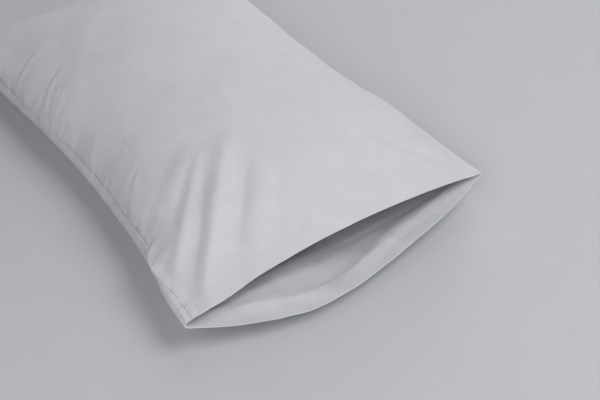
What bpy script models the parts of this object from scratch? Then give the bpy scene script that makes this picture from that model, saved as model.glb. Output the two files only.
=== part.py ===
"""Pillowcase with an open mouth, in the shape it holds on a pillow, lying on its back panel.

Metres, +Z up. X runs across the mouth, Y from the mouth to the closed end. The origin is under the middle of
the outline, on the surface that the case lies on. Both panels are thin sheets: the outer face follows the
formulas below, and the cloth's thickness goes inwards from it.
"""

import bmesh
import bpy
import numpy as np

# Driving sizes
LENGTH = 0.72  # from the mouth corners to the far corners
CROWN = 0.088  # top of the front panel above the side seams
SHOULDERS = (1.3, 1.0)  # the front panel's fall to its left and right seams: 1 is round, more is hollower
END_DRAWN_IN = 0.017  # how far the middle of the end seam lies inside its corners
END_ROUND = 0.060  # how far the back panel's rise to the end seam reaches in
END_PUFF = 0.005  # how far the back panel swells out below the end seam
PUFF_PLACE = 2.2  # more puts the back panel's fullest swell higher up, nearer to the seams
CLOTH = 0.0015  # thickness of each panel
SEAM_GAP = 0.0003  # clearance between the panels along the seams

# Shares of the length over which the mouth's own shape fades into the filled section
MOUTH_FORWARD_REACH = 0.60
MOUTH_RISE_REACH = 0.40
MOUTH_LENS_REACH = 0.28
MOUTH_LIFT_REACH = 0.20
CROWN_END = 0.50  # the front panel rounds down to the end seam from here on

FRONT_COLUMNS, FRONT_ROWS = 38, 40
BACK_COLUMNS, BACK_ROWS = 24, 26
BACK_FLAT_COLUMNS = 0.50  # share of the back panel's columns between its two rounded sides
BACK_FLAT_ROWS = 20 / BACK_ROWS  # share of its rows before the rounded far end
FRONT_NEAR_ROWS = 24 / FRONT_ROWS  # share of the front panel's rows before it rounds down to the end seam
DENSER_LEFT = 0.18  # how much closer the front panel's columns lie on the creased left side
DENSER_MOUTH = 0.40  # how much closer the rows of both panels lie at the mouth

FRONT_COLOUR = (0.60, 0.61, 0.63, 1.0)
BACK_COLOUR = (0.57, 0.58, 0.60, 1.0)
CLOTH_ROUGHNESS = 0.85


def table(names, rows):
    """A table with named columns, one row for each station."""
    return dict(zip(names.split(), np.array(rows, dtype=float).T))


# along: 0 at the mouth, 1 at the far end. left, right: half widths. seam: height of the side seams.
# puff: how far the back panel swells out below a seam. round: how far its rise to the seam reaches in.
STATIONS = table(
    "along left right seam left_puff right_puff left_round right_round",
    (
        (0.00, 0.229, 0.242, 0.048, 0.013, 0.000, 0.016, 0.006),
        (0.07, 0.228, 0.236, 0.051, 0.011, 0.002, 0.030, 0.024),
        (0.15, 0.221, 0.232, 0.054, 0.008, 0.004, 0.050, 0.050),
        (0.35, 0.207, 0.210, 0.050, 0.008, 0.006, 0.050, 0.050),
        (0.60, 0.209, 0.206, 0.051, 0.008, 0.006, 0.050, 0.050),
        (0.85, 0.226, 0.219, 0.053, 0.006, 0.005, 0.050, 0.050),
        (1.00, 0.237, 0.240, 0.057, 0.002, 0.002, 0.050, 0.050),
    ),
)

# The front panel's mouth edge. across: -1 at the left corner, 1 at the right. forward: how far the edge
# bows out past the corners. rise: its height above them.
FRONT_EDGE = table(
    "across forward rise",
    (
        (-1.00, 0.000, 0.000),
        (-0.88, 0.004, 0.007),
        (-0.60, 0.006, 0.025),
        (-0.20, 0.008, 0.036),
        (0.20, 0.009, 0.036),
        (0.60, 0.011, 0.029),
        (1.00, 0.000, 0.000),
    ),
)

# The back panel's mouth edge, lifted off the surface. height: above the surface.
BACK_EDGE = table(
    "across forward height",
    (
        (-1.00, 0.000, 0.031),
        (-0.93, 0.010, 0.030),
        (-0.70, 0.032, 0.025),
        (-0.40, 0.050, 0.020),
        (-0.12, 0.053, 0.020),
        (0.20, 0.042, 0.023),
        (0.55, 0.028, 0.030),
        (0.85, 0.011, 0.039),
        (1.00, 0.000, 0.046),
    ),
)

# The left side seam wanders down over the side of the case. out: how far, below 0 up towards the crown.
LEFT_SEAM = table(
    "along out",
    (
        (0.000, 0.000),
        (0.060, -0.001),
        (0.100, 0.004),
        (0.145, 0.008),
        (0.190, -0.003),
        (0.250, -0.002),
        (0.380, -0.001),
        (0.520, 0.000),
        (0.605, 0.006),
        (0.680, 0.004),
        (0.760, 0.000),
        (1.000, 0.000),
    ),
)

# Main folds of the front panel. They fan out from the left mouth corner, with a few slacker ones on the right
# and three short creases by the left seam at the far end. x, y: start and end of the crest, y = 0 half way
# between the mouth and far corners. width: from the crest to where the fold fades. height: below 0 in a trough.
FRONT_FOLDS = table(
    "x_start y_start x_end y_end width height",
    (
        (-0.112, -0.153, -0.205, -0.229, 0.012, 0.0020),
        (-0.113, -0.171, -0.201, -0.272, 0.010, -0.0012),
        (-0.106, -0.174, -0.219, -0.302, 0.015, 0.0045),
        (-0.068, -0.184, -0.213, -0.359, 0.018, 0.0075),
        (-0.046, -0.194, -0.161, -0.370, 0.014, -0.0020),
        (-0.046, -0.245, -0.136, -0.334, 0.020, 0.0038),
        (0.127, -0.266, 0.195, -0.328, 0.014, -0.0028),
        (0.140, -0.274, 0.107, -0.355, 0.018, -0.0015),
        (0.047, -0.266, 0.047, -0.352, 0.013, -0.0015),
        (-0.160, 0.212, -0.214, 0.186, 0.010, -0.0012),
        (-0.158, 0.138, -0.207, 0.098, 0.010, -0.0012),
        (-0.170, 0.070, -0.206, 0.055, 0.010, -0.0010),
    ),
)
FOLD_TO_SEAM = 0.15  # share of the half width over which folds die out beside a seam
FOLD_TAPER = 0.7  # 0 keeps a fold's full height to its ends, 1 lets it die out there

# The back panel bunches up inside the mouth. Same columns as the front panel's folds.
BACK_FOLDS = table(
    "x_start y_start x_end y_end width height",
    ((-0.130, -0.338, -0.020, -0.332, 0.034, 0.0120),),
)


def curve(rows, column, at):
    """A column of a table at any point between its rows, on a smooth curve through them."""
    xs = next(iter(rows.values()))
    ys = rows[column]
    slope = np.gradient(ys, xs)
    at = np.clip(at, xs[0], xs[-1])
    i = np.clip(np.searchsorted(xs, at, side="right") - 1, 0, len(xs) - 2)
    step = xs[i + 1] - xs[i]
    u = (at - xs[i]) / step
    start = (1 + 2 * u) * (1 - u) ** 2 * ys[i] + u * (1 - u) ** 2 * step * slope[i]
    end = u**2 * (3 - 2 * u) * ys[i + 1] - u**2 * (1 - u) * step * slope[i + 1]
    return start + end


def ease(x):
    """0 to 1 with a gentle start and end."""
    x = np.clip(x, 0, 1)
    return x * x * (3 - 2 * x)


def by_side(across, along, kind=""):
    """The left or the right column of STATIONS, whichever side each point is on."""
    left = curve(STATIONS, "left" + kind, along)
    right = curve(STATIONS, "right" + kind, along)
    return np.where(across < 0, left, right)


def wander(across, along):
    """How far the side seam lies below its usual line."""
    return np.where(across < 0, curve(LEFT_SEAM, "out", along), 0)


def lengthwise(along, share, forward):
    """Y of a point: forward is how far it would bow out at the mouth, and share its place across, -1 to 1."""
    bow = forward * (1 - ease(along / MOUTH_FORWARD_REACH))
    drawn_in = END_DRAWN_IN * (1 - share**2) * ease((along - CROWN_END) / (1 - CROWN_END))
    return LENGTH * (along - 0.5) - bow - drawn_in


def facing(points):
    """The upward direction square to the cloth at each point of a grid of rows and columns."""
    normal = np.cross(np.gradient(points, axis=1), np.gradient(points, axis=0))
    return normal / np.linalg.norm(normal, axis=-1, keepdims=True)


def front_base(across, along):
    """The front panel without its folds: a round-shouldered section that flattens to a lens at the mouth."""
    angle = across * np.pi / 2
    lens = 1 - ease(along / MOUTH_LENS_REACH)
    share = lens * across + (1 - lens) * np.sin(angle)
    to_end = np.clip((along - CROWN_END) / (1 - CROWN_END), 0, 1)
    filled = CROWN * np.cos(angle) ** np.where(across < 0, *SHOULDERS) * np.sqrt(1 - to_end**2)
    at_mouth = 1 - np.sin(np.clip(along / MOUTH_RISE_REACH, 0, 1) * np.pi / 2)
    rise = at_mouth * curve(FRONT_EDGE, "rise", across) + (1 - at_mouth) * filled
    x = (by_side(across, along) + wander(across, along)) * share
    y = lengthwise(along, share, curve(FRONT_EDGE, "forward", across))
    z = curve(STATIONS, "seam", along) + rise + SEAM_GAP
    return np.stack([x, y, z], axis=-1)


def fold_height(folds, x, y):
    """How far a table of folds lifts a panel at a point seen from above."""
    lift = np.zeros_like(x)
    for x0, y0, x1, y1, width, height in zip(*folds.values()):
        dx, dy = x1 - x0, y1 - y0
        length = np.hypot(dx, dy)
        u = ((x - x0) * dx + (y - y0) * dy) / length**2
        off = np.abs((x - x0) * dy - (y - y0) * dx) / length
        past = np.maximum(np.abs(u - 0.5) - 0.5, 0) * length
        taper = np.cos(np.clip(u - 0.5, -0.5, 0.5) * np.pi * FOLD_TAPER)
        lift += height * taper * np.exp(-((off / width) ** 2) - (past / width) ** 2)
    return lift


def front_point(column, row):
    """The front panel's outer face, with its folds. column runs -1 to 1 and row 0 to 1."""
    across = column - DENSER_LEFT * (1 - column**2)
    near_row = np.clip(row / FRONT_NEAR_ROWS, 0, 1)
    near_row = near_row * (1 - DENSER_MOUTH * (1 - near_row))
    far_row = np.clip((row - FRONT_NEAR_ROWS) / (1 - FRONT_NEAR_ROWS), 0, 1)
    along = CROWN_END * near_row + (1 - CROWN_END) * np.sin(far_row * np.pi / 2)
    base = front_base(across, along)
    beside_seam = ease((1 - np.abs(across)) / FOLD_TO_SEAM)
    lift = fold_height(FRONT_FOLDS, base[..., 0], base[..., 1]) * beside_seam
    return base + facing(base) * lift[..., None], curve(STATIONS, "seam", along)


def back_point(column, row):
    """The back panel's outer face. column runs -1 to 1 and row 0 to 1, through its flat and rounded parts."""
    up_side = np.clip((np.abs(column) - BACK_FLAT_COLUMNS) / (1 - BACK_FLAT_COLUMNS), 0, 1)
    up_end = np.clip((row - BACK_FLAT_ROWS) / (1 - BACK_FLAT_ROWS), 0, 1)
    end_share = END_ROUND / LENGTH
    flat_row = np.clip(row / BACK_FLAT_ROWS, 0, 1)
    flat_row = flat_row * (1 - DENSER_MOUTH * (1 - flat_row))
    along = (1 - end_share) * flat_row + end_share * np.sin(up_end * np.pi / 2)

    half_width = by_side(column, along) + wander(column, along)
    side_round = by_side(column, along, "_round")
    flat_column = np.clip(np.abs(column) / BACK_FLAT_COLUMNS, 0, 1)
    out = (half_width - side_round) * flat_column + side_round * np.sin(up_side * np.pi / 2)
    share = np.sign(column) * out / half_width
    puff = np.maximum(by_side(column, along, "_puff") - wander(column, along), 0)
    side_puff = puff * np.sin(np.pi * up_side**PUFF_PLACE) * (1 - up_end)
    end_puff = END_PUFF * np.sin(np.pi * up_end**PUFF_PLACE) * (1 - up_side)

    floor = curve(BACK_EDGE, "height", share) * (1 - ease(along / MOUTH_LIFT_REACH))
    up = 1 - (1 - up_side) * (1 - up_end)
    x = np.sign(column) * (out + side_puff)
    y = lengthwise(along, share, curve(BACK_EDGE, "forward", share)) + end_puff
    seam = curve(STATIONS, "seam", along)
    z = floor + (seam - floor) * (1 - np.cos(up * np.pi / 2)) + fold_height(BACK_FOLDS, x, y)
    return np.stack([x, y, z], axis=-1), seam


def sheet(name, columns, rows, point, side):
    """A closed sheet of cloth. point gives its outer face, which faces up (side 1) or down (side -1), and the
    height of the side seams. The inner face stops at that height, so that the panels stay apart at the seams."""
    body = bmesh.new()
    for _ in ("outer face", "inner face"):
        bmesh.ops.create_grid(body, x_segments=columns, y_segments=rows, size=1.0)
    grid = np.array([v.co for v in body.verts], dtype=float).reshape(2, rows + 1, columns + 1, 3)
    outer, seam = point(grid[0, ..., 0], (grid[0, ..., 1] + 1) / 2)
    inner = outer - facing(outer) * side * CLOTH
    if side > 0:
        inner[..., 2] = np.maximum(inner[..., 2], seam + SEAM_GAP)
    else:
        inner[..., 2] = np.minimum(inner[..., 2], seam)
    for vertex, place in zip(body.verts, np.concatenate([outer, inner]).reshape(-1, 3)):
        vertex.co = place
    body.faces.ensure_lookup_table()
    turned = body.faces[columns * rows :] if side > 0 else body.faces[: columns * rows]
    bmesh.ops.reverse_faces(body, faces=turned)
    bmesh.ops.bridge_loops(body, edges=[e for e in body.edges if e.is_boundary])
    mesh = bpy.data.meshes.new(name)
    body.to_mesh(mesh)
    body.free()
    mesh.shade_smooth()
    return bpy.data.objects.new(name, mesh)


def front_panel():
    return sheet("front_panel", FRONT_COLUMNS, FRONT_ROWS, front_point, side=1)


def back_panel():
    return sheet("back_panel", BACK_COLUMNS, BACK_ROWS, back_point, side=-1)


def cloth_material(name, colour):
    material = bpy.data.materials.new(name)
    material.use_nodes = True
    shader = material.node_tree.nodes["Principled BSDF"]
    shader.inputs["Base Color"].default_value = colour
    shader.inputs["Roughness"].default_value = CLOTH_ROUGHNESS
    shader.inputs["Metallic"].default_value = 0.0
    return material


def centre_over_origin(panels):
    """Moves the panels' points so that the origin is under the middle of the outline."""
    points = np.array([v.co for panel in panels for v in panel.data.vertices])
    middle = (points.min(axis=0) + points.max(axis=0)) / 2
    for panel in panels:
        for vertex in panel.data.vertices:
            vertex.co.x -= middle[0]
            vertex.co.y -= middle[1]


def main():
    for obj in list(bpy.data.objects):
        bpy.data.objects.remove(obj, do_unlink=True)
    case = bpy.data.collections.new("pillowcase")
    bpy.context.scene.collection.children.link(case)

    front, back = front_panel(), back_panel()
    front.data.materials.append(cloth_material("front panel cloth", FRONT_COLOUR))
    back.data.materials.append(cloth_material("back panel cloth", BACK_COLOUR))
    centre_over_origin((front, back))
    for panel in (front, back):
        case.objects.link(panel)


main()
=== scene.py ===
"""Visual model of a pillowcase with an open mouth, filled out as on a pillow and lying on its back panel.

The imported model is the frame. The cloth of each panel is shaped here on the same formulas, finely enough for
its hem, seams, puckers and creases. Metres, +Z up, X across the mouth, Y from the mouth to the closed end.
"""

from math import radians

import bmesh
import bpy
import numpy as np
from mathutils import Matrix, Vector


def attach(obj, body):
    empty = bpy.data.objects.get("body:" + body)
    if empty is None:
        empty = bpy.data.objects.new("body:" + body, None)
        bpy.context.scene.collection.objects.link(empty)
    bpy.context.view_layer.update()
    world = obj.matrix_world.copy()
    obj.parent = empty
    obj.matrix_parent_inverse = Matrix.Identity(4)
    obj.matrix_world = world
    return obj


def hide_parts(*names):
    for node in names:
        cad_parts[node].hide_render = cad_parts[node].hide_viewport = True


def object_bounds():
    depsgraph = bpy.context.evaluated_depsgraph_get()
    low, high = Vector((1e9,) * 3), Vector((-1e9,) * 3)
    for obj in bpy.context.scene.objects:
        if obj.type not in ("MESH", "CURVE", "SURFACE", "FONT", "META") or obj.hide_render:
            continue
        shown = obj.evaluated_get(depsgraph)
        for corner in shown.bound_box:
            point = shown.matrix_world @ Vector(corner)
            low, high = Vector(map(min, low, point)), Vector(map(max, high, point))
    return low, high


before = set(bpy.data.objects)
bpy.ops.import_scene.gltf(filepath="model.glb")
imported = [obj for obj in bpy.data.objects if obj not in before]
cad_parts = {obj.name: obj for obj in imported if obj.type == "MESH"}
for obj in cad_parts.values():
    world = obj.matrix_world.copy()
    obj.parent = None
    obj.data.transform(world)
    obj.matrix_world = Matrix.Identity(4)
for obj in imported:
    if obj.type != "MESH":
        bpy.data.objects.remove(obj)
low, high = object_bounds()

# The case as it lies: the same sizes as its solids
LENGTH = 0.72  # from the mouth corners to the far corners
CROWN = 0.088  # top of the front panel above the side seams
SHOULDERS = (1.3, 1.0)  # the front panel's fall to its left and right seams: 1 is round, more is hollower
END_DRAWN_IN = 0.017  # how far the middle of the end seam lies inside its corners
END_ROUND = 0.060  # how far the back panel's rise to the end seam reaches in
END_PUFF = 0.005  # how far the back panel swells out below the end seam
PUFF_PLACE = 2.2  # more puts the back panel's fullest swell higher up, nearer to the seams
CROWN_END = 0.50  # share of the length at which the crown starts to fall to the end seam
BACK_FLAT_COLUMNS = 0.50  # shares of the back panel's two shape values that lie on its flat part
BACK_FLAT_ROWS = 0.77

# Shares of the length over which the mouth's own shape gives way to the filled case's
MOUTH_FORWARD_REACH = 0.60  # its edges' bow
MOUTH_RISE_REACH = 0.40  # the front edge's height
MOUTH_LENS_REACH = 0.28  # the front panel's flatter section
MOUTH_LIFT_REACH = 0.20  # the back panel's height off the surface

# The cloth
CLOTH = 0.0009  # one layer
EDGE_FULLNESS = 0.95  # of the rounded fold at the mouth, 1 for a full half circle
HEM_DEPTH = 0.028
HEM_LAYER = 0.0005  # the cloth turned in under the hem
HEM_STEP = 0.0050  # over which the turned-in layer ends
STITCH_INSET = 0.0025  # from the turned-in edge to the line of stitches
STITCH_LINE = HEM_DEPTH - STITCH_INSET
STITCH_GROOVE = 0.00012
STITCH_GROOVE_WIDTH = 0.0016
HEM_PUFF = 0.0002  # how far the hem stands up between its edge and its stitches
HEM_RIPPLES = {"spacing": 0.007, "reach": 0.012, "lean": 0, "width": 0.0030, "height": 0.00040}
SEAM_GAP = 0.00005
SEAM_GROOVE = 0.0009
SEAM_GROOVE_WIDTH = 0.0014
SEAM_ALLOWANCE = 0.0075  # width of the seam allowance, which presses through as a low band
ALLOWANCE_STEP = 0.0020  # over which the band ends
ALLOWANCE_AT_MOUTH = 0.075  # length over which the band is thicker with the folded hem in it
STITCH_PITCH = 0.0030
STITCH_SIZE = (0.0022, 0.00042, 0.00036)  # length, width and height of one stitch

# Columns and rows of each panel's grid
FRONT_GRID = (196, 244)
BACK_GRID = (180, 210)
GRID_MEASURES = 4001  # places along each line on which the steps are made even
GRID_MEASURED_AT = 0.45  # the second shape value at which the columns are spaced out

# How much closer than elsewhere the rows and columns lie, and over what length of cloth
ROWS_AT_MOUTH = (14, 0.0008)  # on the rounded fold, fading
ROWS_OVER_HEM = (2.4, HEM_DEPTH + 0.004)
ROWS_AT_END = (2, 0.004)
COLUMNS_AT_SEAM = (3, 0.003)
COLUMNS_OVER_LEFT_BAND = (1.2, 0.012)
COLUMNS_OVER_RIGHT_BAND = (0.7, 0.012)
COLUMNS_ON_CREASED_SIDE = (0.4, 0.2)

# Grey cloth with a trace of blue
CLOTH_COLOUR = (0.565, 0.575, 0.605)
THREAD_COLOUR = (0.60, 0.61, 0.64)
FLOOR_COLOUR = (0.483, 0.493, 0.518)

# Finishes. Tones are how much a mask darkens or lightens the colour. Reliefs are heights.
DULL_SHINE = 0.25
SHEEN_ROUGHNESS = 0.45
THREAD_PITCH = 0.00042  # of the weave
UNDER_THREAD = 0.4  # share of a thread's height that is left where it passes under
WEAVE_RELIEF = 0.00008
SLUB_TONE = 0.05
SLUB_STRETCHES = ((0.9, 0.012, 1.0), (0.012, 0.9, 1.0))  # long streaks down the threads, then across them
CRINKLE = {"Scale": 1.0, "Detail": 3.0, "Roughness": 0.55, "Distortion": 0.6}
CRINKLE_STRETCH = (1.0, 0.45, 1.0)
CRINKLE_SIZE = 0.012
CRINKLE_RELIEF = 0.0005
PATCHES = {"Scale": 0.3, "Detail": 4.0, "Roughness": 0.65}  # of tone, on the crinkle's own scale
PATCH_TONE = 0.14
TWIST = {"Scale": 900.0, "Distortion": 1.0}
TWIST_RELIEF = 0.00008
# painted shade: how much the twist's own relief darkens the thread's colour in its grooves and lightens it on
# its ridges
TWIST_PAINTED_SHADE = 0.15
MOTTLE_SIZE = 0.02  # on the floor
MOTTLE_TONE = 0.05

FLOOR_SIZE = 4.0
FLOOR_DROP = 0.0003

# Lamps on a ring around the case: turn in degrees from behind it, clockwise from above, rise above the floor
# in degrees, and power
LAMP_DISTANCE = 2.4
LAMP_SIZE = 1.7
LAMPS = (
    ("right front softbox", 135, 50, 31.0),
    ("low front softbox", 180, 12, 11.5),
    ("left front softbox", 225, 30, 23.5),
    ("left softbox", 270, 50, 9.0),
    ("right back softbox", 45, 50, 10.5),
    ("low right back softbox", 45, 12, 26.5),
)
FILL = 0.01  # strength of the even light from all round

# The camera: its turn is in degrees and its focal length in millimetres
VIEW_PLACE = (-0.5962, -1.0791, 0.9802)
VIEW_TURN = (48.0, 0.0, -35.17)
VIEW_LENS = 61.48


def table(names, rows):
    """A table with named columns, one row for each station."""
    return dict(zip(names.split(), np.array(rows, dtype=float).T))


# along: 0 at the mouth, 1 at the far end. left, right: half widths. seam: height of the side seams.
# puff: how far the back panel swells out below a seam. round: how far its rise to the seam reaches in.
STATIONS = table(
    "along left right seam left_puff right_puff left_round right_round",
    (
        (0.00, 0.229, 0.242, 0.048, 0.013, 0.000, 0.016, 0.006),
        (0.07, 0.228, 0.236, 0.051, 0.011, 0.002, 0.030, 0.024),
        (0.15, 0.221, 0.232, 0.054, 0.008, 0.004, 0.050, 0.050),
        (0.35, 0.207, 0.210, 0.050, 0.008, 0.006, 0.050, 0.050),
        (0.60, 0.209, 0.206, 0.051, 0.008, 0.006, 0.050, 0.050),
        (0.85, 0.226, 0.219, 0.053, 0.006, 0.005, 0.050, 0.050),
        (1.00, 0.237, 0.240, 0.057, 0.002, 0.002, 0.050, 0.050),
    ),
)

# The front panel's mouth edge. across: -1 at the left corner, 1 at the right. forward: how far the edge
# bows out past the corners. rise: its height above them.
FRONT_EDGE = table(
    "across forward rise",
    (
        (-1.00, 0.000, 0.000),
        (-0.88, 0.004, 0.007),
        (-0.60, 0.006, 0.025),
        (-0.20, 0.008, 0.036),
        (0.20, 0.009, 0.036),
        (0.60, 0.011, 0.029),
        (1.00, 0.000, 0.000),
    ),
)

# The back panel's mouth edge, lifted off the surface. height: above the surface.
BACK_EDGE = table(
    "across forward height",
    (
        (-1.00, 0.000, 0.031),
        (-0.93, 0.010, 0.030),
        (-0.70, 0.032, 0.025),
        (-0.40, 0.050, 0.020),
        (-0.12, 0.053, 0.020),
        (0.20, 0.042, 0.023),
        (0.55, 0.028, 0.030),
        (0.85, 0.011, 0.039),
        (1.00, 0.000, 0.046),
    ),
)

# The left side seam wanders down over the side of the case. out: how far, below 0 up towards the crown.
LEFT_SEAM = table(
    "along out",
    (
        (0.000, 0.000),
        (0.060, -0.001),
        (0.100, 0.004),
        (0.145, 0.008),
        (0.190, -0.003),
        (0.250, -0.002),
        (0.380, -0.001),
        (0.520, 0.000),
        (0.605, 0.006),
        (0.680, 0.004),
        (0.760, 0.000),
        (1.000, 0.000),
    ),
)

# Folds of the front panel. They fan out from the left mouth corner, with slacker ones on the right and short
# creases by the left seam at the far end. x, y: start and end of the crest, y = 0 half way between the mouth
# and far corners. bend: how far the crest's middle bows to the left of the way from start to end. width: from
# the crest to where the fold fades. height: below 0 in a trough.
FRONT_FOLDS = table(
    "x_start y_start x_end y_end bend width height",
    (
        (-0.112, -0.153, -0.205, -0.229, 0, 0.012, 0.0020),
        (-0.113, -0.171, -0.201, -0.272, 0, 0.010, -0.0012),
        (-0.106, -0.174, -0.219, -0.302, 0, 0.015, 0.0045),
        (-0.068, -0.184, -0.213, -0.359, 0, 0.018, 0.0075),
        (-0.046, -0.194, -0.161, -0.370, 0, 0.014, -0.0020),
        (-0.046, -0.245, -0.136, -0.334, 0, 0.020, 0.0038),
        (0.127, -0.266, 0.195, -0.328, 0, 0.014, -0.0028),
        (0.140, -0.274, 0.107, -0.355, 0, 0.018, -0.0015),
        (0.047, -0.266, 0.047, -0.352, 0, 0.013, -0.0015),
    ),
)

# Sharper creases and shallow dents of the front panel, by the left seam and beside the mouth
FRONT_CREASES = table(
    "x_start y_start x_end y_end bend width height",
    (
        (-0.160, 0.209, -0.217, 0.182, -0.004, 0.004, 0.0009),
        (-0.156, 0.216, -0.214, 0.190, -0.004, 0.005, -0.0006),
        (-0.158, 0.136, -0.208, 0.094, -0.007, 0.004, 0.0011),
        (-0.155, 0.143, -0.205, 0.101, -0.007, 0.005, -0.0006),
        (-0.152, 0.120, -0.203, 0.078, -0.006, 0.003, 0.0005),
        (-0.158, 0.102, -0.205, 0.064, -0.005, 0.003, 0.0004),
        (-0.170, 0.068, -0.207, 0.052, -0.004, 0.005, 0.0006),
        (-0.168, 0.075, -0.205, 0.059, -0.004, 0.005, -0.0004),
        (-0.175, -0.016, -0.207, -0.048, -0.003, 0.004, 0.0008),
        (-0.172, -0.128, -0.212, -0.176, -0.004, 0.004, 0.0010),
        (-0.168, -0.121, -0.210, -0.168, -0.004, 0.004, -0.0007),
        (-0.110, -0.160, -0.190, -0.232, 0, 0.006, 0.0009),
        (-0.106, -0.180, -0.205, -0.285, 0, 0.007, 0.0011),
        (-0.070, -0.190, -0.190, -0.325, 0, 0.008, 0.0012),
        (-0.050, -0.215, -0.145, -0.330, 0, 0.008, -0.0011),
        (-0.020, -0.235, -0.080, -0.325, 0, 0.008, -0.0009),
        (0.128, -0.262, 0.190, -0.322, 0.003, 0.006, -0.0009),
        (0.107, -0.272, 0.094, -0.302, 0, 0.009, 0.0009),
        (0.040, -0.283, 0.030, -0.308, 0.002, 0.006, -0.0008),
        (0.050, -0.262, 0.044, -0.284, 0, 0.008, 0.0006),
        (0.035, -0.302, 0.028, -0.326, 0, 0.007, 0.0006),
        (0.044, -0.320, 0.037, -0.338, 0, 0.006, -0.0008),
        (0.061, -0.346, 0.055, -0.362, 0, 0.006, -0.0006),
        (-0.051, -0.329, -0.059, -0.350, 0, 0.007, -0.0007),
        (-0.120, -0.215, -0.200, -0.318, 0.002, 0.004, -0.0007),
        (-0.128, -0.262, -0.196, -0.340, -0.002, 0.004, 0.0007),
    ),
)
FOLD_TO_SEAM = 0.15  # share of the half width over which folds die out beside a seam
CREASE_TO_SEAM = 0.04
FOLD_TAPER = 0.7  # 0 keeps a fold's full height to its ends, 1 lets it die out there

# Folds of the back panel inside the mouth, where it lifts off the surface. Same columns as the front panel's
# folds, with a height above 0 for a ridge seen from inside.
BACK_FOLDS = table(
    "x_start y_start x_end y_end bend width height",
    (
        (-0.195, -0.340, -0.100, -0.340, 0, 0.026, 0.0090),
        (-0.130, -0.338, -0.020, -0.332, 0, 0.034, 0.0130),
        (0.000, -0.386, 0.215, -0.357, 0.014, 0.011, 0.0044),
        (-0.195, -0.354, -0.050, -0.392, 0, 0.012, 0.0028),
        (-0.070, -0.420, -0.006, -0.345, 0, 0.005, -0.0007),
        (-0.120, -0.410, -0.080, -0.375, 0, 0.006, 0.0007),
        (-0.135, -0.400, -0.100, -0.360, 0, 0.006, -0.0006),
        (-0.205, -0.352, -0.110, -0.352, 0, 0.005, 0.0009),
        (-0.200, -0.348, -0.090, -0.338, 0, 0.005, -0.0009),
        (-0.180, -0.356, -0.060, -0.362, 0, 0.005, -0.0007),
        (-0.140, -0.352, -0.020, -0.350, 0, 0.006, 0.0008),
        (-0.030, -0.352, 0.190, -0.352, 0.008, 0.003, 0.0006),
        (-0.060, -0.340, 0.170, -0.346, 0.006, 0.004, -0.0007),
        (-0.080, -0.328, 0.150, -0.338, 0.006, 0.003, 0.0006),
        (-0.090, -0.346, 0.060, -0.352, 0.004, 0.003, -0.0005),
        (-0.020, -0.372, 0.120, -0.374, 0.008, 0.003, -0.0005),
        (0.020, -0.392, 0.180, -0.372, 0.010, 0.003, 0.0004),
    ),
)

# Unevenness of cloth that isn't drawn tight: seed, shortest and longest wave, and height
FRONT_BILLOWS = (3, 0.05, 0.16, 0.0008)
FRONT_CRUMPLE = (4, 0.018, 0.045, 0.00010)
SLACK_CRUMPLE = (6, 0.012, 0.030, 0.00016)
BACK_BILLOWS = (8, 0.04, 0.12, 0.0007)
SLACK_REACH = 0.55  # share of the length over which the slack crumple fades out

# Puckers that the stitches of each seam draw up, the same ones on both panels. spacing: between neighbours.
# reach: into the cloth. lean: how far they veer towards the far end. width: of one. height: of the tallest.
# seam: its place in SEAM_EDGES.
SEAM_PUCKERS = table(
    "seam spacing reach lean width height",
    (
        (0, 0.0110, 0.034, 0.018, 0.0026, 0.0007),
        (0, 0.0045, 0.009, 0.006, 0.0016, 0.0008),
        (0, 0.0062, 0.018, 0.011, 0.0021, 0.0007),
        (1, 0.0150, 0.018, 0.000, 0.0036, 0.0005),
        (2, 0.0140, 0.022, 0.000, 0.0040, 0.0007),
    ),
)
SEAM_EDGES = ("left", "right", "end")
PUCKERS_LOST = 0.6  # share of the puckers' height that the folded hem takes away at the mouth
PUCKER_SEED = 40
FRONT_HEM_SEED = 5
BACK_HEM_SEED = 9

# How high the seam allowance presses through, with the folded hem in it at the mouth and plain beyond it. One
# row for each of SEAM_EDGES.
ALLOWANCE_BAND = table(
    "hemmed plain",
    (
        (0.0011, 0.0002),
        (0.0008, 0.0003),
        (0.0000, 0.0003),
    ),
)


def curve(rows, column, at):
    """A column of a table at any point between its rows, on a smooth curve through them."""
    xs = next(iter(rows.values()))
    ys = rows[column]
    slope = np.gradient(ys, xs)
    at = np.clip(at, xs[0], xs[-1])
    i = np.clip(np.searchsorted(xs, at, side="right") - 1, 0, len(xs) - 2)
    step = xs[i + 1] - xs[i]
    u = (at - xs[i]) / step
    start = (1 + 2 * u) * (1 - u) ** 2 * ys[i] + u * (1 - u) ** 2 * step * slope[i]
    end = u**2 * (3 - 2 * u) * ys[i + 1] - u**2 * (1 - u) * step * slope[i + 1]
    return start + end


def ease(x):
    """0 to 1 with a gentle start and end."""
    x = np.clip(x, 0, 1)
    return x * x * (3 - 2 * x)


def by_side(across, along, kind=""):
    """The left or the right column of STATIONS, whichever side each point is on."""
    left = curve(STATIONS, "left" + kind, along)
    right = curve(STATIONS, "right" + kind, along)
    return np.where(across < 0, left, right)


def wander(across, along):
    """How far the side seam lies below its usual line."""
    return np.where(across < 0, curve(LEFT_SEAM, "out", along), 0)


def lengthwise(along, share, forward):
    """Y of a point: forward is how far it would bow out at the mouth, and share its place across, -1 to 1."""
    bow = forward * (1 - ease(along / MOUTH_FORWARD_REACH))
    drawn_in = END_DRAWN_IN * (1 - share**2) * ease((along - CROWN_END) / (1 - CROWN_END))
    return LENGTH * (along - 0.5) - bow - drawn_in


def facing(points):
    """The upward direction square to the cloth at each point of a grid of rows and columns."""
    normal = np.cross(np.gradient(points, axis=1), np.gradient(points, axis=0))
    return normal / np.linalg.norm(normal, axis=-1, keepdims=True)


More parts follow.
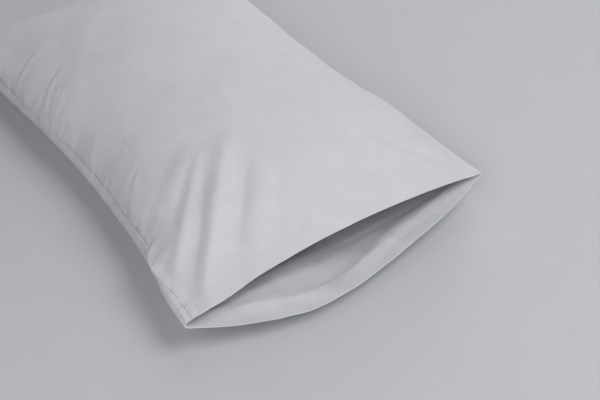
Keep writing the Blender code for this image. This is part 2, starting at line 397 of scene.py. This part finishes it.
def front_shape(across, along):
    """The front panel without its folds: a round-shouldered section that flattens to a lens at the mouth."""
    angle = across * np.pi / 2
    lens = 1 - ease(along / MOUTH_LENS_REACH)
    share = lens * across + (1 - lens) * np.sin(angle)
    to_end = np.clip((along - CROWN_END) / (1 - CROWN_END), 0, 1)
    filled = CROWN * np.cos(angle) ** np.where(across < 0, *SHOULDERS) * np.sqrt(1 - to_end**2)
    at_mouth = 1 - np.sin(np.clip(along / MOUTH_RISE_REACH, 0, 1) * np.pi / 2)
    rise = at_mouth * curve(FRONT_EDGE, "rise", across) + (1 - at_mouth) * filled
    x = (by_side(across, along) + wander(across, along)) * share
    y = lengthwise(along, share, curve(FRONT_EDGE, "forward", across))
    z = curve(STATIONS, "seam", along) + rise + SEAM_GAP
    return np.stack([x, y, z], axis=-1)


def back_place(column, row):
    """The back panel's place up its rounded sides and end, and along the case."""
    up_side = np.clip((np.abs(column) - BACK_FLAT_COLUMNS) / (1 - BACK_FLAT_COLUMNS), 0, 1)
    up_end = np.clip((row - BACK_FLAT_ROWS) / (1 - BACK_FLAT_ROWS), 0, 1)
    end_share = END_ROUND / LENGTH
    along = (1 - end_share) * np.clip(row / BACK_FLAT_ROWS, 0, 1) + end_share * np.sin(up_end * np.pi / 2)
    return up_side, up_end, along


def back_shape(column, row):
    """The back panel without its folds. column is -1 to 1 and row 0 to 1, over its flat and rounded parts."""
    up_side, up_end, along = back_place(column, row)
    half_width = by_side(column, along) + wander(column, along)
    side_round = by_side(column, along, "_round")
    flat_column = np.clip(np.abs(column) / BACK_FLAT_COLUMNS, 0, 1)
    out = (half_width - side_round) * flat_column + side_round * np.sin(up_side * np.pi / 2)
    share = np.sign(column) * out / half_width
    puff = np.maximum(by_side(column, along, "_puff") - wander(column, along), 0)
    side_puff = puff * np.sin(np.pi * up_side**PUFF_PLACE) * (1 - up_end)
    end_puff = END_PUFF * np.sin(np.pi * up_end**PUFF_PLACE) * (1 - up_side)

    floor = curve(BACK_EDGE, "height", share) * (1 - ease(along / MOUTH_LIFT_REACH))
    up = 1 - (1 - up_side) * (1 - up_end)
    x = np.sign(column) * (out + side_puff)
    y = lengthwise(along, share, curve(BACK_EDGE, "forward", share)) + end_puff
    z = floor + (curve(STATIONS, "seam", along) - floor) * (1 - np.cos(up * np.pi / 2))
    return np.stack([x, y, z], axis=-1)


def evenly(path, steps, closeness):
    """Places along a path, 0 to 1, for steps of even length. They are shorter by closeness, which is worked
    out from the distances to the path's start and end."""
    walked = np.concatenate([[0], np.cumsum(np.linalg.norm(np.diff(path, axis=0), axis=1))])
    weight = closeness(walked, walked[-1] - walked)
    reached = np.concatenate([[0], np.cumsum(np.diff(walked) * (weight[1:] + weight[:-1]) / 2)])
    return np.interp(np.linspace(0, reached[-1], steps + 1), reached, np.linspace(0, 1, len(path)))


def within(distance, closeness, reach):
    """How much closer rows or columns lie within a reach of an edge."""
    return closeness * (distance < reach)


def closer_at_mouth(from_mouth, from_end):
    """Rows lie closest on the rounded edge, then close over the hem and at the end seam."""
    closeness, reach = ROWS_AT_MOUTH
    at_edge = closeness * np.exp(-from_mouth / reach)
    return 1 + at_edge + within(from_mouth, *ROWS_OVER_HEM) + within(from_end, *ROWS_AT_END)


def closer_at_sides(from_left, from_right):
    """Columns lie closer over the seam allowances and on the creased left side."""
    return (
        1
        + within(from_left, *COLUMNS_AT_SEAM)
        + within(from_right, *COLUMNS_AT_SEAM)
        + within(from_left, *COLUMNS_OVER_LEFT_BAND)
        + within(from_right, *COLUMNS_OVER_RIGHT_BAND)
        + within(from_left, *COLUMNS_ON_CREASED_SIDE)
    )


def grid_places(shape, columns, rows):
    """The grid of a panel's two shape values, with its steps even on the cloth."""
    fine = np.linspace(0, 1, GRID_MEASURES)
    down = shape(np.zeros_like(fine), fine)
    row = evenly(down, rows, closer_at_mouth)
    over = shape(2 * fine - 1, np.full_like(fine, GRID_MEASURED_AT))
    column = 2 * evenly(over, columns, closer_at_sides) - 1
    return np.meshgrid(column, row)


def distances(points):
    """How far each point of a grid lies from the cloth's left, right, mouth and end edges, over the cloth."""
    over = np.linalg.norm(np.diff(points, axis=1), axis=-1)
    down = np.linalg.norm(np.diff(points, axis=0), axis=-1)
    from_left = np.pad(np.cumsum(over, axis=1), ((0, 0), (1, 0)))
    from_mouth = np.pad(np.cumsum(down, axis=0), ((1, 0), (0, 0)))
    return {
        "left": from_left,
        "right": from_left[:, -1:] - from_left,
        "mouth": from_mouth,
        "end": from_mouth[-1:] - from_mouth,
    }


def fold_height(folds, x, y):
    """How far a table of folds lifts the cloth at a point seen from above."""
    lift = np.zeros_like(x)
    for x0, y0, x1, y1, bend, width, height in zip(*folds.values()):
        dx, dy = x1 - x0, y1 - y0
        length = np.hypot(dx, dy)
        u = ((x - x0) * dx + (y - y0) * dy) / length**2
        bow = bend * (1 - np.clip(2 * u - 1, -1, 1) ** 2)
        off = ((y - y0) * dx - (x - x0) * dy) / length - bow
        past = np.maximum(np.abs(u - 0.5) - 0.5, 0) * length
        taper = np.cos(np.clip(u - 0.5, -0.5, 0.5) * np.pi * FOLD_TAPER)
        lift += height * taper * np.exp(-((off / width) ** 2) - (past / width) ** 2)
    return lift


def puckers(seed, along_seam, from_seam, spacing, reach, lean, width, height):
    """Small ridges and troughs square to a line of stitches, at uneven places along it."""
    rng = np.random.default_rng(seed)
    places = np.arange(0, along_seam.max(), spacing)
    places = places + rng.uniform(-0.45, 0.45, len(places)) * spacing
    lift = np.zeros_like(from_seam)
    for place in places:
        far = reach * rng.uniform(0.4, 1.5)
        wide = width * rng.uniform(0.7, 1.4)
        tall = height * rng.uniform(0.25, 1.0) * rng.choice((-1, 1))
        veer = (lean + 0.3 * far * rng.normal()) * (1 - np.exp(-from_seam / far))
        off = (along_seam - place - veer) / (wide * (1 + from_seam / far))
        lift += tall * np.exp(-((from_seam / far) ** 2) - off**2)
    return lift


def unevenness(x, y, seed, shortest, longest, height, waves=16):
    """Gentle unevenness of cloth that isn't drawn tight, the sum of waves in all directions."""
    rng = np.random.default_rng(seed)
    lift = np.zeros_like(x)
    for _ in range(waves):
        size = rng.uniform(shortest, longest)
        turn, start = rng.uniform(0, np.pi), rng.uniform(0, 2 * np.pi)
        lift += np.cos(2 * np.pi * (x * np.cos(turn) + y * np.sin(turn)) / size + start)
    return height * lift / np.sqrt(waves)


def seam_relief(away, along):
    """The side and end seams on the outer face: a narrow groove, the seam allowance pressed through from
    inside as a low band, and the puckers across both."""
    thicker = 1 - ease(away["mouth"] / ALLOWANCE_AT_MOUTH)
    lift = np.zeros_like(along)
    for edge, hemmed, plain in zip(SEAM_EDGES, *ALLOWANCE_BAND.values()):
        band = plain + (hemmed - plain) * thicker
        lift += band * (1 - ease((away[edge] - SEAM_ALLOWANCE) / ALLOWANCE_STEP))
        lift -= SEAM_GROOVE * np.exp(-((away[edge] / SEAM_GROOVE_WIDTH) ** 2))
    for number, (seam, *row) in enumerate(zip(*SEAM_PUCKERS.values())):
        edge = SEAM_EDGES[int(seam)]
        along_seam = away["left"] if edge == "end" else along * LENGTH
        lift += puckers(PUCKER_SEED + number, along_seam, away[edge], *row) * (1 - PUCKERS_LOST * thicker)
    return lift


def hem_relief(seed, away):
    """The hem on the outer face: a groove along its stitches, and ripples on both sides of them."""
    from_line = np.abs(away["mouth"] - STITCH_LINE)
    groove = STITCH_GROOVE * np.exp(-((from_line / STITCH_GROOVE_WIDTH) ** 2))
    ripples = puckers(seed, away["left"], from_line, **HEM_RIPPLES)
    puffed = HEM_PUFF * np.sin(np.pi * np.clip(away["mouth"] / STITCH_LINE, 0, 1))
    return puffed + ripples - groove


def thickness(from_mouth):
    """The cloth's thickness, with a second layer in the hem."""
    return CLOTH + HEM_LAYER * (1 - ease((from_mouth - HEM_DEPTH) / HEM_STEP))


def edge_rounding(from_mouth):
    """How far each face turns in towards the other on the rounded fold at the mouth."""
    radius = (CLOTH + HEM_LAYER) / 2
    short_of = np.clip((radius - from_mouth) / radius, 0, 1)
    return radius * (1 - np.sqrt(1 - (EDGE_FULLNESS * short_of) ** 2))


def front_faces():
    """The front panel's outer and inner faces, and how far each point lies from its edges."""
    across, along = grid_places(front_shape, *FRONT_GRID)
    shape = front_shape(across, along)
    x, y = shape[..., 0], shape[..., 1]
    away = distances(shape)
    beside_seam = ease((1 - np.abs(across)) / FOLD_TO_SEAM)
    lift = fold_height(FRONT_FOLDS, x, y) * beside_seam
    lift += fold_height(FRONT_CREASES, x, y) * ease((1 - np.abs(across)) / CREASE_TO_SEAM)
    lift += unevenness(x, y, *FRONT_BILLOWS) * beside_seam
    lift += unevenness(x, y, *FRONT_CRUMPLE) * beside_seam
    lift += unevenness(x, y, *SLACK_CRUMPLE) * beside_seam * (1 - ease(along / SLACK_REACH))
    lift += seam_relief(away, along) + hem_relief(FRONT_HEM_SEED, away)
    square = facing(shape)
    outer = shape + square * (lift - edge_rounding(away["mouth"]))[..., None]
    inner = shape + square * (lift - thickness(away["mouth"]) + edge_rounding(away["mouth"]))[..., None]
    seam = curve(STATIONS, "seam", along) + SEAM_GAP
    outer[..., 2] = np.maximum(outer[..., 2], seam)
    inner[..., 2] = np.maximum(inner[..., 2], seam)
    return outer, inner, away


def back_faces():
    """The back panel's outer and inner faces, and how far each point lies from its edges."""
    column, row = grid_places(back_shape, *BACK_GRID)
    shape = back_shape(column, row)
    along = back_place(column, row)[2]
    x, y = shape[..., 0], shape[..., 1]
    away = distances(shape)
    lifted = 1 - ease(along / MOUTH_LIFT_REACH)
    rise = fold_height(BACK_FOLDS, x, y)
    rise += unevenness(x, y, *BACK_BILLOWS) * lifted
    drop = seam_relief(away, along) + hem_relief(BACK_HEM_SEED, away) - rise
    square = facing(shape)
    outer = shape - square * (drop - edge_rounding(away["mouth"]))[..., None]
    inner = shape - square * (drop - thickness(away["mouth"]) + edge_rounding(away["mouth"]))[..., None]
    seam = curve(STATIONS, "seam", along)
    for face, above in ((outer, 0), (inner, CLOTH)):
        face[..., 2] = np.clip(face[..., 2], above, np.maximum(seam, above))
    return outer, inner, away


def cloth_sheet(name, outer, inner, away, outer_up):
    """A closed sheet of cloth between two grids of points, with its own flat lengths as its UV map."""
    rows, columns = outer.shape[0] - 1, outer.shape[1] - 1
    body = bmesh.new()
    for _ in ("outer face", "inner face"):
        bmesh.ops.create_grid(body, x_segments=columns, y_segments=rows, size=1.0)
    body.faces.ensure_lookup_table()
    turned = body.faces[columns * rows :] if outer_up else body.faces[: columns * rows]
    bmesh.ops.reverse_faces(body, faces=turned)
    bmesh.ops.bridge_loops(body, edges=[e for e in body.edges if e.is_boundary])
    mesh = bpy.data.meshes.new(name)
    body.to_mesh(mesh)
    body.free()

    mesh.vertices.foreach_set("co", np.concatenate([outer, inner]).ravel())
    flat = np.stack([away["left"], away["mouth"]], axis=-1).reshape(-1, 2)
    corner = np.empty(len(mesh.loops), dtype=np.int32)
    mesh.loops.foreach_get("vertex_index", corner)
    cloth_map = mesh.uv_layers.new(name="cloth")
    cloth_map.uv.foreach_set("vector", np.concatenate([flat, flat])[corner].ravel())
    mesh.shade_smooth()
    mesh.set_sharp_from_angle(angle=radians(60))
    mesh.update()
    piece = bpy.data.objects.new(name, mesh)
    bpy.context.scene.collection.objects.link(piece)
    return piece


def stitch_places(face, away, outward):
    """The middle of each stitch of a hem on one face, its direction and the way that the cloth faces."""
    square = facing(face) * outward
    line, up = [], []
    for column in range(face.shape[1]):
        from_mouth = away["mouth"][:, column]
        line.append([np.interp(STITCH_LINE, from_mouth, face[:, column, axis]) for axis in range(3)])
        up.append([np.interp(STITCH_LINE, from_mouth, square[:, column, axis]) for axis in range(3)])
    line, up = np.array(line), np.array(up)
    walked = np.concatenate([[0], np.cumsum(np.linalg.norm(np.diff(line, axis=0), axis=1))])
    middles = np.arange(STITCH_PITCH, walked[-1] - STITCH_PITCH, STITCH_PITCH)

    def on_line(values, at):
        return np.stack([np.interp(at, walked, values[:, axis]) for axis in range(3)], axis=-1)

    run = on_line(line, middles + STITCH_PITCH / 3) - on_line(line, middles - STITCH_PITCH / 3)
    run /= np.linalg.norm(run, axis=1, keepdims=True)
    return on_line(line, middles), run, on_line(up, middles)


def hem_stitches(name, rows_of_places):
    """All the stitches of one hem, as one mesh of small rounded lengths of thread."""
    body = bmesh.new()
    bmesh.ops.create_icosphere(body, subdivisions=2, radius=0.5)
    bean = np.array([v.co for v in body.verts])
    faces = np.array([[v.index for v in f.verts] for f in body.faces])
    body.free()
    bean = bean * np.array(STITCH_SIZE)

    points, triangles, count = [], [], 0
    for middles, run, up in rows_of_places:
        side = np.cross(up, run)
        side /= np.linalg.norm(side, axis=1, keepdims=True)
        up = np.cross(run, side)
        for middle, *axes in zip(middles, run, side, up):
            points.append(middle + bean @ np.array(axes))
            triangles.append(faces + count)
            count += len(bean)
    mesh = bpy.data.meshes.new(name)
    mesh.from_pydata(np.concatenate(points).tolist(), [], np.concatenate(triangles).tolist())
    mesh.shade_smooth()
    piece = bpy.data.objects.new(name, mesh)
    bpy.context.scene.collection.objects.link(piece)
    return piece


def node(tree, kind, inputs=None, **settings):
    """A new node with its settings, and its inputs set to values or joined to other nodes' outputs."""
    new = tree.nodes.new(kind)
    for name, value in settings.items():
        setattr(new, name, value)
    for socket, source in (inputs or {}).items():
        if isinstance(source, bpy.types.NodeSocket):
            tree.links.new(source, new.inputs[socket])
        else:
            new.inputs[socket].default_value = source
    return new


def maths(tree, operation, *values):
    """The output of a new maths node, with its values or other nodes' outputs in order."""
    return node(tree, "ShaderNodeMath", dict(enumerate(values)), operation=operation).outputs[0]


def vector_maths(tree, operation, inputs):
    """The output of a new vector maths node."""
    return node(tree, "ShaderNodeVectorMath", inputs, operation=operation).outputs[0]


def grouped(tree, group, **inputs):
    """The outputs of a group placed in a material, with its named inputs."""
    return node(tree, "ShaderNodeGroup", inputs, node_tree=group).outputs


def new_group(name, inputs, outputs):
    """An empty shader node group with named sockets, and its input and output nodes."""
    tree = bpy.data.node_groups.new(name, "ShaderNodeTree")
    for socket, kind in inputs.items():
        tree.interface.new_socket(socket, in_out="INPUT", socket_type=kind)
    for socket, kind in outputs.items():
        tree.interface.new_socket(socket, in_out="OUTPUT", socket_type=kind)
    return tree, tree.nodes.new("NodeGroupInput").outputs, tree.nodes.new("NodeGroupOutput")


def plain_weave():
    """Threads over and under each other. Height is that of the thread on top, and Slub the unevenness of
    single threads along their length."""
    tree, given, result = new_group(
        "plain weave",
        {"Cloth": "NodeSocketVector", "Threads": "NodeSocketFloat"},
        {"Height": "NodeSocketFloat", "Slub": "NodeSocketFloat"},
    )
    scaled = vector_maths(tree, "SCALE", {0: given["Cloth"], "Scale": given["Threads"]})
    split = node(tree, "ShaderNodeSeparateXYZ", {0: scaled})
    rounds, whole = [], []
    for axis in ("X", "Y"):
        place = split.outputs[axis]
        rounds.append(maths(tree, "ABSOLUTE", maths(tree, "SINE", maths(tree, "MULTIPLY", place, np.pi))))
        whole.append(maths(tree, "FLOOR", place))
    over = maths(tree, "MODULO", maths(tree, "ADD", *whole), 2.0)
    under = maths(tree, "SUBTRACT", 1.0, over)
    threads = []
    for round_thread, on_top in zip(rounds, (over, under)):
        raised = maths(tree, "MULTIPLY_ADD", on_top, 1 - UNDER_THREAD, UNDER_THREAD)
        threads.append(maths(tree, "MULTIPLY", round_thread, raised))
    tree.links.new(maths(tree, "MAXIMUM", *threads), result.inputs["Height"])

    slubs = []
    for stretch in SLUB_STRETCHES:
        drawn = vector_maths(tree, "MULTIPLY", {0: scaled, 1: stretch})
        streaks = node(tree, "ShaderNodeTexNoise", {"Vector": drawn, "Scale": 1.0, "Detail": 1.0})
        slubs.append(streaks.outputs["Fac"])
    tree.links.new(maths(tree, "MULTIPLY", maths(tree, "ADD", *slubs), 0.5), result.inputs["Slub"])
    return tree


def soft_crinkle():
    """The faint unevenness of washed cloth: Height for its relief and Shade for its patches of tone."""
    tree, given, result = new_group(
        "soft crinkle",
        {"Cloth": "NodeSocketVector", "Size": "NodeSocketFloat"},
        {"Height": "NodeSocketFloat", "Shade": "NodeSocketFloat"},
    )
    scale = maths(tree, "DIVIDE", 1.0, given["Size"])
    drawn = vector_maths(tree, "SCALE", {0: given["Cloth"], "Scale": scale})
    longer = vector_maths(tree, "MULTIPLY", {0: drawn, 1: CRINKLE_STRETCH})
    relief = node(tree, "ShaderNodeTexNoise", {"Vector": longer, **CRINKLE})
    patches = node(tree, "ShaderNodeTexNoise", {"Vector": drawn, **PATCHES})
    tree.links.new(relief.outputs["Fac"], result.inputs["Height"])
    tree.links.new(patches.outputs["Fac"], result.inputs["Shade"])
    return tree


def toned():
    """A colour darkened or lightened a little by a mask that varies around 0.5."""
    tree, given, result = new_group(
        "toned",
        {"Colour": "NodeSocketColor", "Mask": "NodeSocketFloat", "Amount": "NodeSocketFloat"},
        {"Colour": "NodeSocketColor"},
    )
    swing = maths(tree, "MULTIPLY", maths(tree, "SUBTRACT", given["Mask"], 0.5), given["Amount"])
    level = maths(tree, "ADD", swing, 1.0)
    shaded = vector_maths(tree, "SCALE", {0: given["Colour"], "Scale": level})
    tree.links.new(shaded, result.inputs["Colour"])
    return tree


def new_material(name, roughness, sheen):
    """A material with its cloth-like shader, its tree and the shader node."""
    material = bpy.data.materials.new(name)
    material.use_nodes = True
    shader = material.node_tree.nodes["Principled BSDF"]
    shader.inputs["Roughness"].default_value = roughness
    shader.inputs["Specular IOR Level"].default_value = DULL_SHINE
    shader.inputs["Sheen Weight"].default_value = sheen
    shader.inputs["Sheen Roughness"].default_value = SHEEN_ROUGHNESS
    return material, material.node_tree, shader


def woven_cloth(name, groups):
    """Fine plain-woven cloth with a brushed, matt face."""
    material, tree, shader = new_material(name, roughness=0.85, sheen=0.15)
    cloth = node(tree, "ShaderNodeUVMap", uv_map="cloth").outputs["UV"]
    weave = grouped(tree, groups["weave"], Cloth=cloth, Threads=1 / THREAD_PITCH)
    crinkle = grouped(tree, groups["crinkle"], Cloth=cloth, Size=CRINKLE_SIZE)
    slubbed = grouped(tree, groups["tone"], Colour=(*CLOTH_COLOUR, 1.0), Mask=weave["Slub"], Amount=SLUB_TONE)
    patchy = grouped(tree, groups["tone"], Colour=slubbed["Colour"], Mask=crinkle["Shade"], Amount=PATCH_TONE)
    tree.links.new(patchy["Colour"], shader.inputs["Base Color"])

    broad = node(tree, "ShaderNodeBump", {"Height": crinkle["Height"], "Distance": CRINKLE_RELIEF})
    fine = node(
        tree,
        "ShaderNodeBump",
        {"Height": weave["Height"], "Distance": WEAVE_RELIEF, "Normal": broad.outputs["Normal"]},
    )
    tree.links.new(fine.outputs["Normal"], shader.inputs["Normal"])
    return material


def sewing_thread(groups):
    """Twisted thread, a little smoother than the cloth. Its colour is painted darker in the twist's grooves
    and lighter on its ridges, as painted shade.
    """
    material, tree, shader = new_material("hem thread", roughness=0.6, sheen=0.1)
    place = node(tree, "ShaderNodeTexCoord").outputs["Object"]
    wave = node(tree, "ShaderNodeTexWave", {"Vector": place, **TWIST}, bands_direction="DIAGONAL")
    twist = wave.outputs["Fac"]
    # painted shade: the same twist that raises the ridges darkens the grooves and lightens the ridges
    tone = grouped(tree, groups["tone"], Colour=(*THREAD_COLOUR, 1.0), Mask=twist, Amount=TWIST_PAINTED_SHADE)
    tree.links.new(tone["Colour"], shader.inputs["Base Color"])
    bump = node(tree, "ShaderNodeBump", {"Height": twist, "Distance": TWIST_RELIEF})
    tree.links.new(bump.outputs["Normal"], shader.inputs["Normal"])
    return material


def pale_floor(groups):
    """A plain pale floor, very slightly mottled."""
    material, tree, shader = new_material("pale floor", roughness=0.9, sheen=0.0)
    place = node(tree, "ShaderNodeTexCoord").outputs["Object"]
    mottle = grouped(tree, groups["crinkle"], Cloth=place, Size=MOTTLE_SIZE)
    shade = mottle["Shade"]
    tone = grouped(tree, groups["tone"], Colour=(*FLOOR_COLOUR, 1.0), Mask=shade, Amount=MOTTLE_TONE)
    tree.links.new(tone["Colour"], shader.inputs["Base Color"])
    return material


def lay_floor(material):
    """A wide floor just below the case."""
    mesh = bpy.data.meshes.new("floor")
    body = bmesh.new()
    bmesh.ops.create_grid(body, x_segments=1, y_segments=1, size=FLOOR_SIZE)
    body.to_mesh(mesh)
    body.free()
    floor = bpy.data.objects.new("floor", mesh)
    floor.location.z = -FLOOR_DROP
    floor.data.materials.append(material)
    bpy.context.scene.collection.objects.link(floor)


def area_light(name, place, power):
    """A round soft lamp that faces the case."""
    lamp = bpy.data.lights.new(name, "AREA")
    lamp.shape = "DISK"
    lamp.size = LAMP_SIZE
    lamp.energy = power
    light = bpy.data.objects.new(name, lamp)
    light.location = place
    light.rotation_euler = Vector(place).to_track_quat("Z", "Y").to_euler()
    bpy.context.scene.collection.objects.link(light)


def light_scene():
    """A faint even fill, and soft lamps on a ring around the case."""
    world = bpy.data.worlds.new("soft fill")
    world.use_nodes = True
    sky = world.node_tree.nodes["Background"]
    sky.inputs["Color"].default_value = (1.0, 1.0, 1.0, 1.0)
    sky.inputs["Strength"].default_value = FILL
    bpy.context.scene.world = world
    for name, turn, rise, power in LAMPS:
        turn, rise = radians(turn), radians(rise)
        level = LAMP_DISTANCE * np.cos(rise)
        place = (level * np.sin(turn), level * np.cos(turn), LAMP_DISTANCE * np.sin(rise))
        area_light(name, place, power)
    bpy.context.scene.view_settings.view_transform = "Standard"


def place_camera():
    """The camera, in front of the mouth on its left."""
    lens = bpy.data.cameras.new("camera")
    lens.sensor_fit = "HORIZONTAL"
    lens.sensor_width = 36.0
    lens.lens = VIEW_LENS
    camera = bpy.data.objects.new("camera", lens)
    camera.location = VIEW_PLACE
    camera.rotation_euler = [radians(turn) for turn in VIEW_TURN]
    bpy.context.scene.collection.objects.link(camera)
    bpy.context.scene.camera = camera


def centred(faces, low, high):
    """The faces of both panels moved sideways as one, to the middle of the frame's outline."""
    points = np.concatenate([face.reshape(-1, 3) for face in faces])
    shift = (np.array(low) + np.array(high) - points.min(axis=0) - points.max(axis=0)) / 2
    shift[2] = 0.0
    return [face + shift for face in faces]


def main():
    place_camera()
    light_scene()

    front_outer, front_inner, front_away = front_faces()
    back_outer, back_inner, back_away = back_faces()
    front_outer, front_inner, back_outer, back_inner = centred(
        (front_outer, front_inner, back_outer, back_inner), low, high
    )
    front = cloth_sheet("front_panel_cloth", front_outer, front_inner, front_away, outer_up=True)
    back = cloth_sheet("back_panel_cloth", back_outer, back_inner, back_away, outer_up=False)
    front_stitches = hem_stitches(
        "front_hem_stitches",
        (stitch_places(front_outer, front_away, 1), stitch_places(front_inner, front_away, -1)),
    )
    back_stitches = hem_stitches(
        "back_hem_stitches",
        (stitch_places(back_outer, back_away, -1), stitch_places(back_inner, back_away, 1)),
    )

    groups = {"weave": plain_weave(), "crinkle": soft_crinkle(), "tone": toned()}
    front.data.materials.append(woven_cloth("front cloth", groups))
    back.data.materials.append(woven_cloth("back cloth", groups))
    thread = sewing_thread(groups)
    lay_floor(pale_floor(groups))

    for piece, node_name, slot in ((front, "front_panel", "front_cloth"), (back, "back_panel", "back_cloth")):
        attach(piece, "root")
        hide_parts(node_name)
    for stitches, slot in ((front_stitches, "front_cloth"), (back_stitches, "back_cloth")):
        stitches.data.materials.append(thread)
        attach(stitches, "root")


main()
